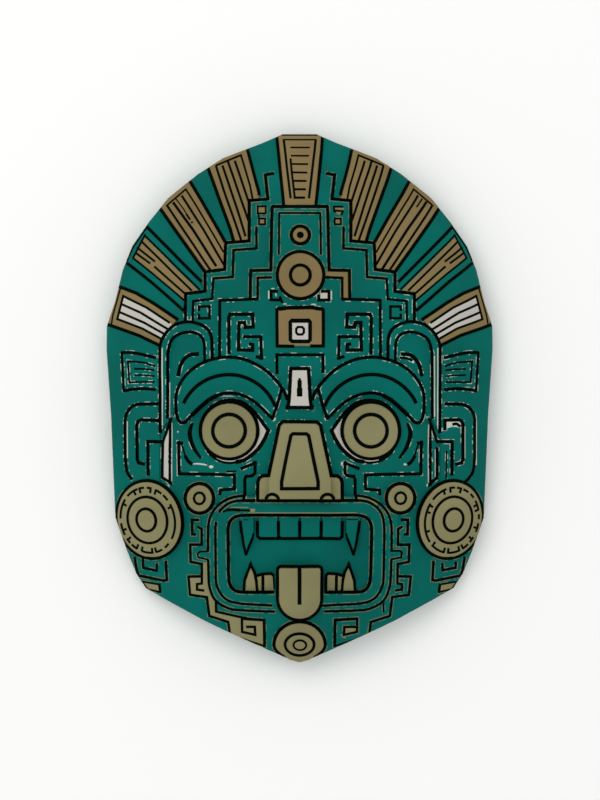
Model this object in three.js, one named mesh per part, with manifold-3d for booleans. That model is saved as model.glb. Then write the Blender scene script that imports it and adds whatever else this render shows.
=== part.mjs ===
// A carved and painted wooden mask with an aztec-style deity face, hollowed behind.
//
// Millimetres. The mask lies on its back. +X is to the viewer's right, +Y runs from chin to crown, and
// +Z points out of the face. The flat rim behind lies in z = 0, and the origin is the middle of the rim's
// box. The carving is the same on both sides, so outlines are given for the +X side and mirrored.

import * as THREE from "three";
import { mergeVertices } from "three/addons/utils/BufferGeometryUtils.js";
import Module from "manifold-3d";

// Driving dimensions: the block
const HEIGHT = 300; // crown to chin
const SIDE = 109.7; // middle line to the widest point of the temple
const EDGE = 13; // thickness of the carved edge all round
const RISE = 36; // how far the face bulges above that edge

// The bulge: a dome whose middle lies above the brows and which runs out further towards the chin
const DOME = { y: 27.4, half: 110, up: 122.6, upPower: 2, down: 177, downPower: 2.5, fall: 3 };

// The hollow behind: the same dome, drawn in towards its middle and lowered
const HOLLOW = { scale: 0.905, edge: 5 };

// Heights of the carving above the dome
const LEVEL = {
  feather: 2, crown: 2, forehead: 3.5, column: 5.5, square: 6, pendant: 6.5,
  arch: 3.5, archFloor: 1, temple: 1.5, brow: 6, socket: -1.5, eye: 3,
  noseRoot: 4, noseTip: 12, noseWing: 7, jaw: 1.5, lip: 3, frame: 4.5, mouth: -3.5,
  tooth: 0.5, fang: 1.5, tongue: 6.5, cheek: 4, ear: 4.5, chin: 3.5,
};
const BOSS = 1.2; // each ring or boss stands this far above the disc or plate that it is carved on

// Facets of the dome and of the hollow, and corners in a full circle
const FACET = 12;
const HOLLOW_FACET = 15;
const CORNERS = { wide: 24, small: 16 };

const TOP = HEIGHT / 2;
const DEEP = 90; // taller than anything on the mask

const wasm = await Module();
wasm.setup();

// Outlines are lists of [x, y], anticlockwise or not: the extrusion turns them the right way

const mirror = (points) => points.map(([x, y]) => [-x, y]).reverse();

// A half outline from the top of the middle line to its bottom, closed by its own mirror image
const closed = (half) => [...half, ...mirror(half)];

function arc(x, y, radius, from, to, corners) {
  const points = [];
  for (let i = 0; i <= corners; i++) {
    const turn = THREE.MathUtils.degToRad(from + ((to - from) * i) / corners);
    points.push([x + radius * Math.cos(turn), y + radius * Math.sin(turn)]);
  }
  return points;
}

function disc(x, y, radiusX, radiusY = radiusX) {
  const corners = radiusX > 10 ? CORNERS.wide : CORNERS.small;
  const points = [];
  for (let i = 0; i < corners; i++) {
    const turn = (2 * Math.PI * i) / corners;
    points.push([x + radiusX * Math.cos(turn), y + radiusY * Math.sin(turn)]);
  }
  return points;
}

const block = (half, top, bottom) => closed([[half, top], [half, bottom]]);

function rounded(half, top, bottom, radius) {
  const corners = 4;
  return closed([
    ...arc(half - radius, top - radius, radius, 90, 0, corners),
    ...arc(half - radius, bottom + radius, radius, 0, -90, corners),
  ]);
}

// A flight of steps, each given by its half width and its top, down to a foot
function stepped(steps, foot) {
  const half = steps.flatMap(([width, top], i) => (i ? [[steps[i - 1][0], top], [width, top]] : [[width, top]]));
  return closed([...half, [steps.at(-1)[0], foot]]);
}

// Solids

function solidOf(geometry) {
  geometry.deleteAttribute("normal");
  geometry.deleteAttribute("uv");
  const merged = mergeVertices(geometry, 1e-4);
  return new wasm.Manifold(new wasm.Mesh({
    numProp: 3,
    vertProperties: Float32Array.from(merged.attributes.position.array),
    triVerts: Uint32Array.from(merged.index.array),
  }));
}

function prism(points, from = -DEEP / 2, to = DEEP) {
  const shape = new THREE.Shape(points.map(([x, y]) => new THREE.Vector2(x, y)));
  const geometry = new THREE.ExtrudeGeometry(shape, { depth: to - from, bevelEnabled: false });
  geometry.translate(0, 0, from);
  return solidOf(geometry);
}

const domeRadius = (x, y) => {
  const above = y > DOME.y;
  const power = above ? DOME.upPower : DOME.downPower;
  const along = Math.abs(y - DOME.y) / (above ? DOME.up : DOME.down);
  return ((Math.abs(x) / DOME.half) ** power + along ** power) ** (1 / power);
};
const dome = (x, y) => EDGE + RISE * (1 - domeRadius(x, y) ** DOME.fall);

// Everything under a height that varies over the face, within a box that holds the given outline
function under(height, points, facet) {
  const low = [0, 1].map((k) => Math.floor(Math.min(...points.map((p) => p[k])) / facet - 0.01));
  const high = [0, 1].map((k) => Math.ceil(Math.max(...points.map((p) => p[k])) / facet + 0.01));
  const columns = high[0] - low[0];
  const rows = high[1] - low[1];
  const at = (i, j) => i * (rows + 1) + j;
  const position = [];
  for (let i = 0; i <= columns; i++) {
    for (let j = 0; j <= rows; j++) {
      const [x, y] = [(low[0] + i) * facet, (low[1] + j) * facet];
      position.push(x, y, height(x, y));
    }
  }
  const foot = position.length / 3;
  const corners = [[0, 0], [columns, 0], [columns, rows], [0, rows]];
  for (const [i, j] of corners) position.push((low[0] + i) * facet, (low[1] + j) * facet, -DEEP / 2);

  const index = [foot, foot + 3, foot + 2, foot, foot + 2, foot + 1];
  for (let i = 0; i < columns; i++) {
    for (let j = 0; j < rows; j++) {
      const [a, b, c, d] = [at(i, j), at(i + 1, j), at(i + 1, j + 1), at(i, j + 1)];
      // the diagonals lean inwards on both sides of the middle line
      index.push(...(low[0] + i >= 0 ? [a, b, d, b, c, d] : [a, b, c, a, c, d]));
    }
  }
  const sides = [
    Array.from({ length: columns + 1 }, (_, i) => at(i, 0)),
    Array.from({ length: rows + 1 }, (_, j) => at(columns, j)),
    Array.from({ length: columns + 1 }, (_, i) => at(columns - i, rows)),
    Array.from({ length: rows + 1 }, (_, j) => at(0, rows - j)),
  ];
  sides.forEach((top, side) => {
    const [start, end] = [foot + side, foot + ((side + 1) % 4)];
    for (let i = 0; i + 1 < top.length; i++) index.push(start, top[i + 1], top[i]);
    index.push(start, end, top.at(-1));
  });
  const geometry = new THREE.BufferGeometry();
  geometry.setAttribute("position", new THREE.Float32BufferAttribute(position, 3));
  geometry.setIndex(index);
  return solidOf(geometry);
}

// The outline of the mask: a fan-shaped crown, straight temples and cheeks, and a pointed chin

const fanEdge = [
  [9.8, TOP], [20.2, 145.4], [43.6, 136.3], [57.8, 127.3], [74.8, 113.6], [85.7, 100], [95.1, 86.4],
  [100.5, 72.8], [104.9, 54.6], [109.6, 41],
];
const cheekEdge = [[SIDE, 27.4], [107.2, -9], [104.8, -68], [98.4, -86.2], [92.9, -99.8], [86.2, -108.9]];
const chinEdge = [[68.1, -118], [43.2, -131.6], [0.6, -TOP]];
const maskOutline = closed([...fanEdge, ...cheekEdge, ...chinEdge]);

const hollowOutline = maskOutline.map(([x, y]) => [x * HOLLOW.scale, DOME.y + (y - DOME.y) * HOLLOW.scale]);
const ceiling = (x, y) => {
  const [wide, high] = [x / HOLLOW.scale, DOME.y + (y - DOME.y) / HOLLOW.scale];
  return HOLLOW.edge + RISE * (1 - domeRadius(wide, high) ** DOME.fall);
};

const maskPrism = prism(maskOutline);
let mask = prism(maskOutline, 0).intersect(under(dome, maskOutline, FACET));

// Adds what stands on the dome inside an outline; a level is a height above the dome or a rule for one
function raise(points, level) {
  const height = (x, y) => dome(x, y) + (typeof level === "function" ? level(x, y) : level);
  const form = prism(points, 1).intersect(under(height, points, FACET)).intersect(maskPrism);
  mask = mask.add(form);
}

// Cuts everything inside an outline down to a level
function sink(points, level) {
  const floor = under((x, y) => dome(x, y) + level, points, FACET);
  mask = mask.subtract(prism(points).subtract(floor));
}

function onBothSides(work, points, level) {
  work(points, level);
  work(mirror(points), level);
}

// The fan of nine feathers: wedges about one centre, which run out to the edge of the mask

const FAN = { y: 3, turns: [17.2, 32.3, 47.9, 64.8], root: 70, middleRoot: 106, tip: 160 };
const sideFeather = (radius) => 4.7 + 0.052 * radius; // half width at a distance from the fan's centre
const middleFeather = (radius) => 0.109 * radius - 2.7;

function feather(turn, halfWidth, root) {
  const [sin, cos] = [Math.sin(THREE.MathUtils.degToRad(turn)), Math.cos(THREE.MathUtils.degToRad(turn))];
  const place = (radius, side) => {
    const across = side * halfWidth(radius);
    return [radius * sin + across * cos, FAN.y + radius * cos - across * sin];
  };
  return [place(root, -1), place(root, 1), place(FAN.tip, 1), place(FAN.tip, -1)];
}

for (const turn of FAN.turns) onBothSides(raise, feather(turn, sideFeather, FAN.root), LEVEL.feather);

// The stepped crown and, on it, the stepped forehead, whose foot runs in between the brows

const crownSteps = [[18.5, 127], [28.5, 112.6], [42.4, 88.6], [53.4, 72], [64.8, 59.7]];
const foreheadSteps = [[15.7, 108], [27.7, 72.7], [44.9, 55.5]];
raise(stepped(crownSteps, 22), LEVEL.crown);
raise(feather(0, middleFeather, FAN.middleRoot), LEVEL.crown + BOSS);
raise(stepped(foreheadSteps, 14), LEVEL.forehead);
raise(closed([[44.9, 15], [16, 0], [9.4, -14]]), LEVEL.forehead);

// Down the middle: a column with two discs, a square with a boss, and a hood with a slotted pendant

raise(block(15.4, 108, 73.9), LEVEL.column);
raise(disc(0, 92.6, 5.4), LEVEL.column + BOSS);
raise(disc(0, 69.9, 13.1, 13.6), LEVEL.column + BOSS);
raise(disc(0, 69.9, 5.7), LEVEL.column + 2 * BOSS);

raise(block(12.8, 51.2, 29.9), LEVEL.square);
raise(block(5.6, 43.8, 32.5), LEVEL.square + BOSS);

const pendant = closed([[4.9, 16.6], [6.8, 0], [6.4, -5.2]]);
raise(block(12.6, 24.4, 14.3), LEVEL.column);
raise(pendant, LEVEL.pendant);
sink(closed([[1.4, 11.5], [2, 0]]), LEVEL.column - BOSS);

// An arch beside each brow, and the plates at the temple and round the ear

const archOuter = [
  [79, -18], ...arc(66, 30, 13, 0, 100, 5), ...arc(60.5, 32, 11, 90, 180, 4), [49.5, 21.5],
];
const archInner = [
  [74.7, -18], ...arc(66, 26.5, 8.7, 0, 60, 3), ...arc(61.5, 29.4, 8, 90, 180, 4), [53.5, 20],
];
onBothSides(raise, archOuter, LEVEL.arch);
onBothSides(sink, archInner, LEVEL.archFloor);

const templePlate = [[81.8, 23], [92.9, 25.4], [101.1, 25.7], [99.7, 4.4], [88.3, 5.2], [81.6, 4.1]];
const earPlate = [[79, -3.4], [91.7, -3.5], [98, -8.6], [98.9, -12], [98.9, -33.4], [97, -44], [79, -60]];
onBothSides(raise, templePlate, LEVEL.temple);
onBothSides(raise, earPlate, LEVEL.temple);

// Sunk eye sockets with round eyes, under brows that follow circles about the eyes

const EYE = { x: 39.8, y: -18.3, radius: 16.2, pupil: 9.1 };
const socket = [
  [18.3, -18.1], [20.8, -24.5], [25, -30.3], [30.4, -34.5], [37.5, -36.8], [47.7, -36.4], [56, -33.4],
  [61.1, -26], [62.3, -20.3], [60.5, -9], [52.9, -2.2], [42.3, -1], [33.8, -2.4], [24.7, -10.4],
];
onBothSides(sink, socket, LEVEL.socket);
onBothSides(raise, disc(EYE.x, EYE.y, EYE.radius), LEVEL.eye);
onBothSides(raise, disc(EYE.x, EYE.y, EYE.pupil), LEVEL.eye + BOSS);

const brow = [
  ...arc(EYE.x, -10.9, 33.8, 22, 153, 14), [13.1, -3.9], [15.7, -10.7],
  ...arc(EYE.x, EYE.y, 21.8, 150, 45, 10), [64.5, -12.9], [67.5, -13.3], [69.8, -7.8],
];
onBothSides(raise, brow, LEVEL.brow);

// The nose slopes up to its tip, with lower wings

const noseTop = -13.4;
const noseFoot = -57.8;
const slope = (root, tip) => (x, y) => THREE.MathUtils.mapLinear(y, noseTop, noseFoot, root, tip);
raise(closed([[22.5, -45.9], [23.7, -48.1], [23.7, noseFoot]]), LEVEL.noseWing);
raise(closed([[9.4, noseTop], [11.4, -15.2], [17.4, -43.8], [17.4, noseFoot]]), slope(LEVEL.noseRoot, LEVEL.noseTip));
raise(closed([[4.7, -20.8], [10.1, -47.5], [10.1, -51]]), slope(LEVEL.noseRoot + BOSS, LEVEL.noseTip + BOSS));

// The jaw plate steps in towards the chin; on it stand the lips and the frame round the open mouth

const jawSteps = [
  [56, -73.9], [56, -83.1], [61.5, -83.1], [61.5, -93.4], [55.4, -93.9], [55.4, -101.4], [62.3, -101.5],
  [62, -112], [52.4, -113.1], [51.2, -123.6], [41.2, -126.8], [39.3, -140],
];
raise(closed(jawSteps), LEVEL.jaw);
raise(rounded(51.8, noseFoot, -120.6, 15), LEVEL.lip);
raise(rounded(47.6, noseFoot, -118, 12), LEVEL.frame);
const opening = { half: 40.3, top: -66.4, bottom: -109.9 };
sink(rounded(opening.half, opening.top, opening.bottom, 7), LEVEL.mouth);

// Four teeth and two fangs above, and a fang and two teeth each side below

const TEETH = { count: 4, width: 11.9, foot: -79, corner: 1.5, gap: 0.4 };
for (let i = 0; i < TEETH.count; i++) {
  const left = (i - TEETH.count / 2) * TEETH.width + TEETH.gap;
  const right = left + TEETH.width - 2 * TEETH.gap;
  const { foot, corner } = TEETH;
  raise([
    [left, opening.top], [left, foot + corner], [left + corner, foot], [right - corner, foot],
    [right, foot + corner], [right, opening.top],
  ], LEVEL.tooth);
}
const upperFang = [[34.2, opening.top], [33.5, -70.3], [32.4, -80.8], [30.4, -87], [26.7, -79.9], [26, opening.top]];
const lowerFang = [[31.6, opening.bottom], [30.8, -101.3], [27.9, -94.7], [25.3, -100.1], [24.6, opening.bottom]];
const lowerTeeth = [[24.2, opening.bottom], [24.2, -100.1], [14.8, -100.1], [14.8, opening.bottom]];
onBothSides(raise, upperFang, LEVEL.fang);
onBothSides(raise, lowerFang, LEVEL.fang);
onBothSides(raise, lowerTeeth, LEVEL.tooth);

const tongue = closed([[10, -95.3], [12.3, -97], ...arc(0, -113.2, 12.5, 0, -90, 6)]);
raise(tongue, LEVEL.tongue);

// Round bosses: one on each cheek, one over each ear, and one under the lips

// The ear's rings follow the steep side of the dome, so from the front they are narrower than high
const CHEEK = { x: 56.8, y: -56.9, radius: 8, boss: 3 };
onBothSides(raise, disc(CHEEK.x, CHEEK.y, CHEEK.radius), LEVEL.cheek);
onBothSides(raise, disc(CHEEK.x, CHEEK.y, CHEEK.boss), LEVEL.cheek + BOSS);
const EAR = { y: -69.1, rings: [[85.2, 18.7, 22], [86.6, 11.1, 13.1], [86.9, 5.5, 6.4]] };
EAR.rings.forEach(([x, radiusX, radiusY], i) => {
  onBothSides(raise, disc(x, EAR.y, radiusX, radiusY), LEVEL.ear + i * BOSS);
});
const CHIN = [[-140.1, 14.5, 13.3], [-139.8, 8.2, 6.2]];
CHIN.forEach(([y, radiusX, radiusY], i) => raise(disc(0, y, radiusX, radiusY), LEVEL.chin + i * BOSS));

// The hollow behind, open at the back

mask = mask.subtract(prism(hollowOutline).intersect(under(ceiling, hollowOutline, HOLLOW_FACET)));

function meshOf(solid, name, material) {
  const { vertProperties, triVerts } = solid.getMesh();
  const geometry = new THREE.BufferGeometry();
  geometry.setAttribute("position", new THREE.BufferAttribute(vertProperties, 3));
  geometry.setIndex(new THREE.BufferAttribute(triVerts, 1));
  geometry.computeVertexNormals();
  const mesh = new THREE.Mesh(geometry, material);
  mesh.name = name;
  return mesh;
}

const paintedWood = new THREE.MeshStandardMaterial({ color: 0x0e635a, roughness: 0.6, metalness: 0 });
const object = new THREE.Group();
object.add(meshOf(mask, "mask", paintedWood));

export default object;
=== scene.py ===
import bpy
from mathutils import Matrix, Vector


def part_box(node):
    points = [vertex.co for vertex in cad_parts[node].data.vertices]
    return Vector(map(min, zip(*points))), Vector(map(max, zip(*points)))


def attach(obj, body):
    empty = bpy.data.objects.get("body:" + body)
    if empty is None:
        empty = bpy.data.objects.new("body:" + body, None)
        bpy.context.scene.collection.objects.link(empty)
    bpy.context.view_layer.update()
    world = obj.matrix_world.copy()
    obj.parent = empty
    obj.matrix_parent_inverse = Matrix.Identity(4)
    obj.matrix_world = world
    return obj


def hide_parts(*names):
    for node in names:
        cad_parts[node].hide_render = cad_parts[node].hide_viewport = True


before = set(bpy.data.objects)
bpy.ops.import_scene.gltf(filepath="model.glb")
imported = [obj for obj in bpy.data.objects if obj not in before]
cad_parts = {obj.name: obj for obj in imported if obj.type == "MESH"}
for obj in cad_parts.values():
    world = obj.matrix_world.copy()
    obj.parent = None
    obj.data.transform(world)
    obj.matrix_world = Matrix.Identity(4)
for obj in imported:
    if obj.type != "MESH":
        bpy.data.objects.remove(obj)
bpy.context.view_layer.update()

import math
import bmesh
import bpy
import numpy as np
from functools import partial
from mathutils import Vector
from mathutils.geometry import delaunay_2d_cdt

# The block
# A plank of light softwood, band-sawn to a fan-shaped outline and rounded over to a dome that runs out
# further towards the chin. It is drawn in millimetres from the middle of the mask. Most of the pattern
# is the same on both sides, so a point is (distance from the middle line, height), used left and right.
MM = 0.001
top_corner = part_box("mask")[1]
SIDE, TOP = top_corner[0] / MM, top_corner[1] / MM
EDGE = 13  # thickness of the sawn edge
RISE = 36  # how far the dome bulges above it
DOME_Y = 27.4  # where it is widest
DOME_HALF = 110
DOME_UP, UP_POWER = 122.6, 2  # how far it reaches upwards, and how square it is there
DOME_DOWN, DOWN_POWER = 177, 2.5
DOME_FALL = 3


def both_halves(half):
    return list(half) + [(-u, v) for u, v in reversed(half)]


def dome(x, y):
    above = y > DOME_Y
    power = np.where(above, UP_POWER, DOWN_POWER)
    along = np.abs(y - DOME_Y) / np.where(above, DOME_UP, DOME_DOWN)
    out = ((np.abs(x) / DOME_HALF) ** power + along**power) ** (1 / power)
    return EDGE + RISE * (1 - out**DOME_FALL)


fan_edge = [(9.8, TOP), (20.2, 145.4), (43.6, 136.3), (57.8, 127.3), (74.8, 113.6), (85.7, 100),
    (95.1, 86.4), (100.5, 72.8), (104.9, 54.6), (109.6, 41)]
cheek_edge = [(SIDE, 27.4), (107.2, -9), (104.8, -68), (98.4, -86.2), (92.9, -99.8), (87.5, -108)]
chin_edge = [(75.6, -114.7), (54.1, -126.3), (42.4, -131.9), (27.2, -138.8), (12.6, -145.3),
    (5.4, -148.6), (0.6, -TOP)]
block_outline = both_halves(fan_edge + cheek_edge + chin_edge)

# The feathers
# Nine broad feathers fan out from the crown to the rim, left standing 2 mm above the dome. Each is framed
# by a gouged line and striped along its length. Most are painted ochre, the lowest has white stripes.
FEATHER = 2
CROWN = 2
BOSS = 1.2  # how far each boss stands above what carries it
BLEED = 0.14  # how much wider than drawn a groove and its black paint come out, on each side
LEFT, RIGHT, BOTH, MIDDLE = (-1,), (1,), (-1, 1), (1,)

# What the carver sets out on the block: forms left standing or sunk, gouged lines, and areas of paint
forms, lines, painted = [], [], []


def on_side(points, side):
    return np.array([(side * u, v) for u, v in points])


def chosen(on, outlines):
    """If no side is chosen, a shape that crosses the middle line is made once, any other on both sides."""
    return on or (MIDDLE if min(u for outline in outlines for u, _ in outline) < 0 else BOTH)


def carve(level, points, colour=None, on=None, sunk=False, swell=0.35):
    for side in chosen(on, [points]):
        forms.append((on_side(points, side), level, sunk, swell))
    if colour:
        paint(colour, points, on=on)


def cut(width, *runs, on=None, closed=False, rubbed=None):
    for side in chosen(on, runs):
        for run in runs:
            lines.append((on_side(run, side), width / 2 + BLEED, closed, rubbed))


def paint(colour, *areas, on=None):
    for side in chosen(on, areas):
        for area in areas:
            painted.append((on_side(area, side), colour))


middle_feather = both_halves([(13.3, 153), (8.9, 108.4)])
carve(CROWN + BOSS, middle_feather, "ochre")
cut(1.7, [(13.3, 153), (8.9, 108.4)])
cut(1.1, [(9, 146.8), (5.2, 113.3)])
cut(0.6, [(-9, 146.8), (9, 146.8)], [(-9.8, 149.5), (9.8, 149.5)])
for row in range(7):
    height = 142.3 - 4.83 * row
    cut(0.7 + 0.07 * row, [(-5 + 0.3 * row, height), (5.4 - 0.45 * row, height)])
cut(1, [(5.1, 135.5), (4.4, 127.8), (2.8, 113.3)], on=LEFT)

second = [(29.9, 142), (25, 123.6), (23, 116.5), (22.8, 112.6), (28.5, 112.2), (28.5, 89.2), (37.2, 89),
    (39.3, 96), (52, 131), (42, 142)]
carve(FEATHER, second, "ochre")
cut(1.7, [*second[:3], (22.9, 115.2)])
cut(1.8, [(52, 131), (39.3, 96), (37.2, 89)])
cut(0.9, [(47.5, 132.1), (33.3, 138), (27.9, 119.9), (26.5, 112.5)])
cut(1.1, [(47.4, 131.6), (42.9, 117.6), (33, 89.2)], [(43.7, 131.8), (35.5, 107.4), (30.7, 91.8)],
    [(40.7, 134.4), (29.1, 100.6)], [(36.7, 134.5), (28.9, 111.4)])

third = [(64, 126), (54.6, 110.2), (42.3, 88.7), (42.7, 72.8), (53.4, 71.4), (63.9, 86.1), (80, 109),
    (76, 120)]
carve(FEATHER, third, "ochre")
cut(1.8, third[:3])
cut(1.9, [(80, 109), (63.9, 86.1), (53.4, 71.4)])
cut(0.8, [(75.3, 109.5), (64.6, 118.6), (57.9, 108), (42.9, 82.6)])
cut(1.1, [(75.3, 109.5), (50.5, 72.4)], [(66.8, 114.8), (54.5, 95.5), (42.9, 75.7)])
cut(1.3, [(71.6, 110.9), (60.8, 96), (47.3, 74.9)], on=LEFT)
cut(1.35, [(71.7, 111.2), (60.9, 96), (46.4, 73.2)], on=RIGHT)
cut(0.5, [(70.2, 113.1), (65.6, 107), (64.5, 105)], on=LEFT)
cut(0.9, [(64.2, 104.4), (62.1, 101.3)], [(61.1, 99.8), (60.8, 99.4)], on=LEFT)
cut(0.7, [(69.4, 113.1), (66, 108.5)], on=RIGHT)

fourth = [(88.5, 98), (56.3, 65.4), (53.4, 60), (64.8, 59.2), (65.6, 49.7), (84.4, 66.2), (100, 78.4),
    (99, 90)]
stripes = [(88.4, 91.9), (57, 60.4), (64.8, 59.6), (64.8, 54.8), (82.9, 70.2), (94.6, 79.4)]
carve(FEATHER, fourth)
paint("ochre", stripes)
cut(1.7, [(88, 98.5), (55.8, 65.9)], [(100, 78.4), (84.4, 66.2), (65.6, 49.7)])
cut(0.7, [(86.1, 97.9), (94.7, 85.4), (98.3, 77.2)])
cut(0.9, [(56.6, 61.4), (87.9, 92.4), (94.6, 79.6), (82.9, 70.3), (65.3, 55.4)])
cut(1, [(89.4, 88.7), (61.1, 60.9)], [(82.1, 74.5), (64.8, 59.1)], [(92.1, 85.5), (82.1, 77.5)],
    [(93.2, 82.6), (84.9, 76.5)])

fifth = [(104, 63.6), (92.5, 59.1), (82.9, 53.5), (69, 44.4), (72.6, 40.2), (75.5, 37), (77.9, 33),
    (79, 29.8), (90.9, 35.6), (108.5, 41.8), (108, 50)]
white_stripes = [(99.9, 58), (86.6, 51.2), (72.2, 41.9), (75, 37.6), (77.5, 33), (88.9, 39.1),
    (103.3, 44.6)]
carve(FEATHER, fifth, "ochre")
paint("white", white_stripes)
cut(1.8, [(104, 63.9), (92.6, 59.5), (82.9, 53.7), (69, 44.5)])
cut(1.8, fifth[7:10])
cut(0.7, [(101.6, 62.8), (106.1, 47), (107, 41.2)])
cut(1.1, [(73.6, 42.7), (86.6, 51.2), (100.1, 58), (103.5, 44.9), (88.8, 39.4), (77.8, 33.3)],
    [(101.3, 53.5), (90, 48.4), (74.4, 38.9)], [(102.3, 48.9), (87.8, 42.7), (76.4, 36.2)])

# The crown and the forehead
# A stepped crown like the side of a temple stands in front of the feathers, and a stepped forehead on it.
# Both are left standing and edged with gouged lines; the paint is rubbed through to ochre along them.
FOREHEAD = 3.5
FOREHEAD_FOOT, FOREHEAD_SLOPE = -12, 25  # where it starts to rise, and over how much

# Lines along which the paint is rubbed through, to ochre or to the white gesso
ochre_cut, gesso_cut = partial(cut, rubbed="ochre"), partial(cut, rubbed="gesso")


def box(u0, v0, u1, v1):
    return [(u0, v0), (u1, v0), (u1, v1), (u0, v1)]


crown_steps = [(14.9, 127.3), (19.3, 126.5), (17.9, 112.7), (28.5, 111.8), (28.5, 88.9), (41.7, 87.8),
    (42.3, 72.8), (53.5, 71.4), (53.4, 60.3), (64.4, 59.1), (64.4, 43.3)]
carve(CROWN, both_halves(crown_steps + [(64.8, 22)]))
ochre_cut(1.7, crown_steps[:9])
gesso_cut(1.7, crown_steps[8:])
ochre_cut(1.25, [(24.4, 96.6), (24.4, 84.6), (37.3, 83.7), (37.7, 68.4), (48.8, 67.6)])
gesso_cut(1.25, [(48.8, 67.6), (49.4, 56), (60, 54.9), (60.4, 43)])

forehead_steps = [(15.4, 108.2), (16.2, 72.3), (27.6, 71.9), (27.8, 55.6), (45, 55.2), (45.1, 22.5)]


def forehead_level(x, y):
    return FOREHEAD * np.clip((y - FOREHEAD_FOOT) / FOREHEAD_SLOPE, 0, 1)


carve(forehead_level, both_halves(forehead_steps + [(44.9, 15), (16, 0), (9.4, -14)]))
ochre_cut(1.7, forehead_steps[:4])
gesso_cut(1.6, [(23.7, 55.9), *forehead_steps[4:]])
ochre_cut(1.25, [(15.9, 68.2), (23.6, 67.9), (23.7, 56.1)])
paint("ochre", [(13, 70.5), (16.2, 72.6), (27.6, 72.2), (27.8, 55.7), (23.7, 56.1), (23.6, 67.9),
    (13, 68.2)], on=RIGHT)
cut(1.4, [(13.6, 68.2), (16, 68.2)], on=RIGHT)

stud_high, stud_low = box(19.1, 104.4, 23.7, 108.5), box(19.4, 98.2, 22.9, 101.5)
paint("ochre", stud_low)
ochre_cut(0.9, stud_low, closed=True)
paint("ochre", stud_high, on=LEFT)
ochre_cut(0.9, stud_high, on=LEFT, closed=True)
cut(0.7, [(23.3, 104.4), (22.9, 101.5)], on=LEFT)
paint("ochre", box(19.6, 106, 24.5, 108), box(20.5, 103.9, 22.3, 105.3), on=RIGHT)
cut(0.9, [(24, 108.3), (19, 108.3), (19.2, 105.7), (20.3, 106.1), (24, 105.7), (23.4, 103.8)], on=RIGHT)

# A square meander and a hooked one lie on each side of the brow's inner end
gesso_cut(1.75, [(39.8, 25.2), (40, 45.5), (39.3, 47.3), (26.5, 47.4), (26.2, 40.3), (30.7, 40), (31, 42.7),
    (34.1, 42.7), (34.5, 27.2), (26.5, 27), (26.5, 30.2), (28.2, 30.5)])
for side, start in ((LEFT, 31.5), (RIGHT, 34.4)):
    gesso_cut(1.6, [(start, 34.7), (21.9, 34.7), (21.6, 22.8), (24.5, 23.4)], on=side)
gesso_cut(1.25, [(56.8, 49.6), (56.8, 51.8), (50.9, 51.8), (50.9, 45.1), (56.8, 45.1), (56.8, 47.4)])

# The column down the middle
# A raised column carries a small and a large disc, a square with a white boss, and a hood over a white
# slotted pendant. Each is left standing a little higher than the last, cut round and painted.
COLUMN = 5.5
SQUARE = 6
PENDANT = 6.5
DISC_SWELL = 0.6
HOOD_FOOT, HOOD_SLOPE = 10, 14
ARC_STEP = 1.8  # mm between the points of a curve
flecks = []


def fleck(*areas, on=None, colour="gesso"):
    """A small mark of paint that no line borders."""
    paint(colour, *areas, on=on)
    flecks.extend(on_side(area, side) for side in chosen(on, areas) for area in areas)


def streak(start, end, on=None, colour="gesso", wide=0.9):
    """A thin mark along the edge of a line, partly under it."""
    (u0, v0), (u1, v1) = start, end
    half = wide / 2 / math.hypot(u1 - u0, v1 - v0)
    a, b = (v0 - v1) * half, (u1 - u0) * half
    fleck([(u0 + a, v0 + b), (u1 + a, v1 + b), (u1 - a, v1 - b), (u0 - a, v0 - b)], on=on, colour=colour)


def arc(u, v, radius, start, end, high=None, lean=0):
    """Part of a circle, or of an ellipse whose top leans outwards by some degrees."""
    high = high or radius
    per_degree = max(max(radius, high) / ARC_STEP * math.pi / 180, 1 / 30)
    steps = max(3, math.ceil(abs(end - start) * per_degree))
    c, s = math.cos(math.radians(lean)), math.sin(math.radians(lean))
    turns = np.radians(np.linspace(start, end, steps + 1))
    points = [(radius * math.cos(t), high * math.sin(t)) for t in turns]
    return [(u + a * c + b * s, v + b * c - a * s) for a, b in points]


def ring(u, v, radius, high=None, lean=0):
    return arc(u, v, radius, 0, 360, high, lean)[:-1]


carve(COLUMN, both_halves([(15.4, 108.2), (16.1, 73.9)]))
ochre_cut(1.9, [(-15.4, 108.3), (15.4, 108.3)])
ochre_cut(1, [(11.7, 81.3), (11.4, 104.6), (-11.4, 104.6), (-11.7, 81.3)])

small_disc = ring(0.3, 92.1, 5)
large_disc = ring(0.35, 69.4, 12.85, 13.2)
large_boss = ring(0.35, 69.4, 5.4, 5.6)
for disc in (small_disc, large_disc):
    carve(COLUMN + BOSS, disc, "ochre", swell=DISC_SWELL)
carve(COLUMN + 2 * BOSS, large_boss, swell=DISC_SWELL)
ochre_cut(1.9, small_disc, closed=True)
cut(1.7, ring(0.3, 92.1, 0.95), closed=True)
cut(1.8, large_boss, closed=True)
ochre_cut(1.8, arc(0.35, 69.4, 12.85, -15, 195, 13.2))
gesso_cut(1.8, arc(0.35, 69.4, 12.85, 190, 350, 13.2))

gesso_cut(1.5, [(12.6, 60.3), (16.1, 60.3), (16.1, 55.4), (11.2, 55.4)], on=LEFT)
cut(1.3, [(11.1, 57.1), (9.8, 54)], on=LEFT)
gesso_cut(1.5, [(12, 60.3), (16.2, 60.3), (16.2, 55.4), (10.5, 55.3), (10.5, 58.2)], on=RIGHT)
paint("white", box(11.4, 55.7, 16.6, 60.4), on=RIGHT)

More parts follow.
